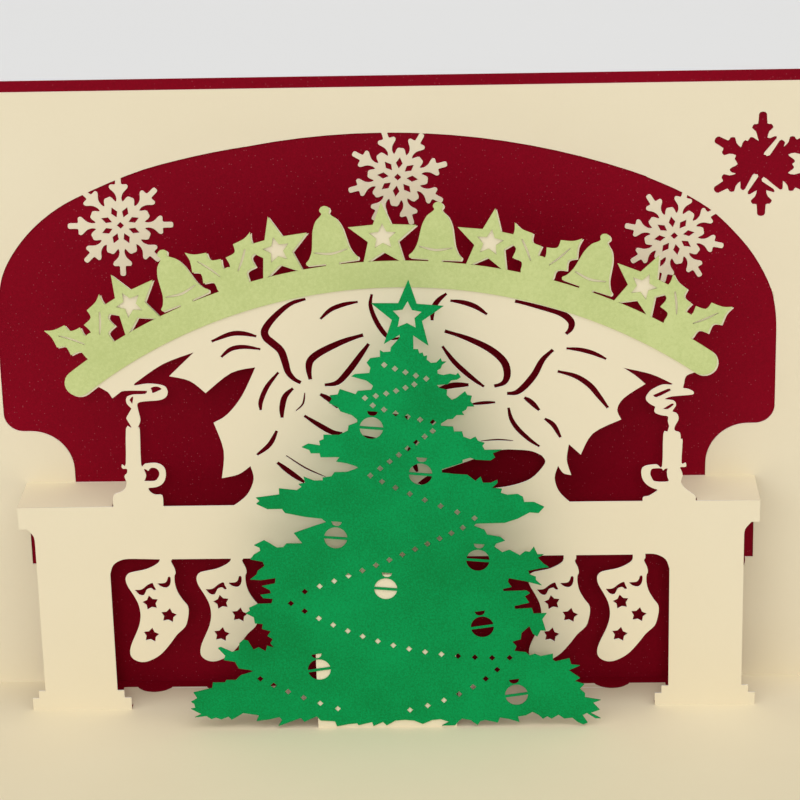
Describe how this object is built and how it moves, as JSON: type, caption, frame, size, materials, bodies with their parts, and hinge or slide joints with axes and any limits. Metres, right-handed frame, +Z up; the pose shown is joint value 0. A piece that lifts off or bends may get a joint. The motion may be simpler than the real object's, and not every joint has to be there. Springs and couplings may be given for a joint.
{
  "type": "pop-up greeting card",
  "caption": "Folded greeting card that opens to a right angle and stands up a cut-paper fireplace with stockings, candlesticks, a ribbon bow and an arched banner, behind a fir tree.",
  "frame": {"origin": "under the middle of the open card, on the surface that the floor panel lies on", "axes": "+X along the spine to the viewer's right, +Y from the floor panel's free edge to the standing back panel, +Z up"},
  "size_m": [0.21, 0.15, 0.15],
  "materials": {
    "cover_card": "burgundy pearl card",
    "liner_card": "smooth cream card",
    "tree_card": "green felt-marked card",
    "banner_card": "light green card"
  },
  "bodies": {
    "root": {"cover": "cover_card", "liner": "liner_card", "tree": "tree_card", "banner": "banner_card"}
  },
  "joints": []
}
